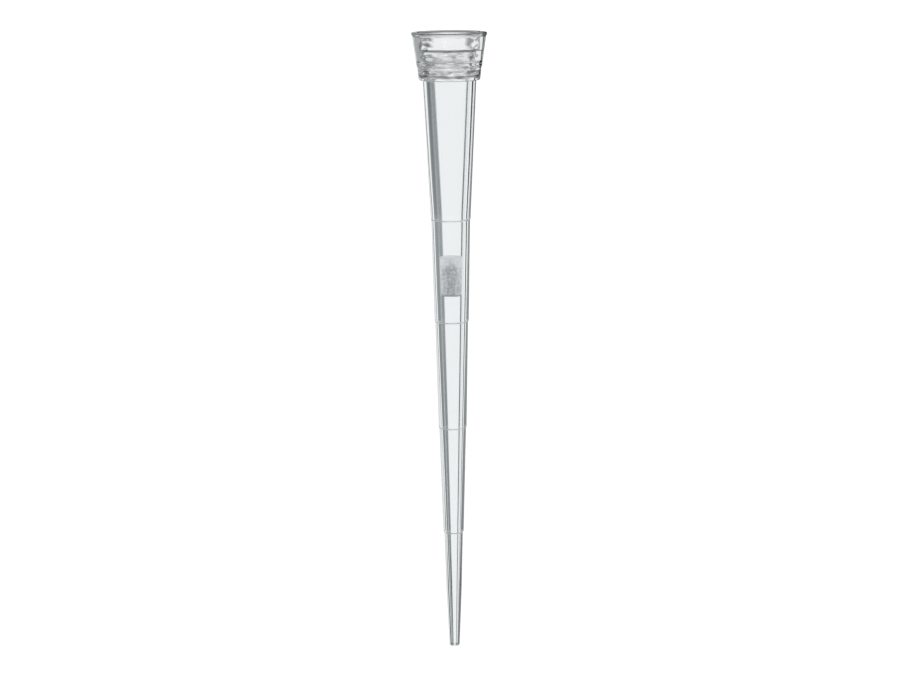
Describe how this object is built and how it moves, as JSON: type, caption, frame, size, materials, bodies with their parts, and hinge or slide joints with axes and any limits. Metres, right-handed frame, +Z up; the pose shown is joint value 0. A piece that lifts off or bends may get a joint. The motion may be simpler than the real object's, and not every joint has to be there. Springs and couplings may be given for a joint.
{
  "type": "filtered pipette tip",
  "caption": "Clear tapered pipette tip with a collar socket, stepped fill marks, a fine outlet and a porous filter plug in its bore, lying on its side.",
  "frame": {"origin": "middle of the foot of the box round the tip as it lies, on the surface that it rests on", "axes": "+Y along the tip towards its rim, which rests on its lip about 3 degrees nose down, +Z up from the surface"},
  "size_m": [0.007, 0.0592, 0.0071],
  "materials": {
    "clear_plastic": "clear moulded polypropylene with a smooth polished surface",
    "porous_plastic": "sintered porous polyethylene, white and finely granular"
  },
  "bodies": {
    "root": {"tip_body": "clear_plastic", "filter_plug": "porous_plastic"}
  },
  "joints": []
}
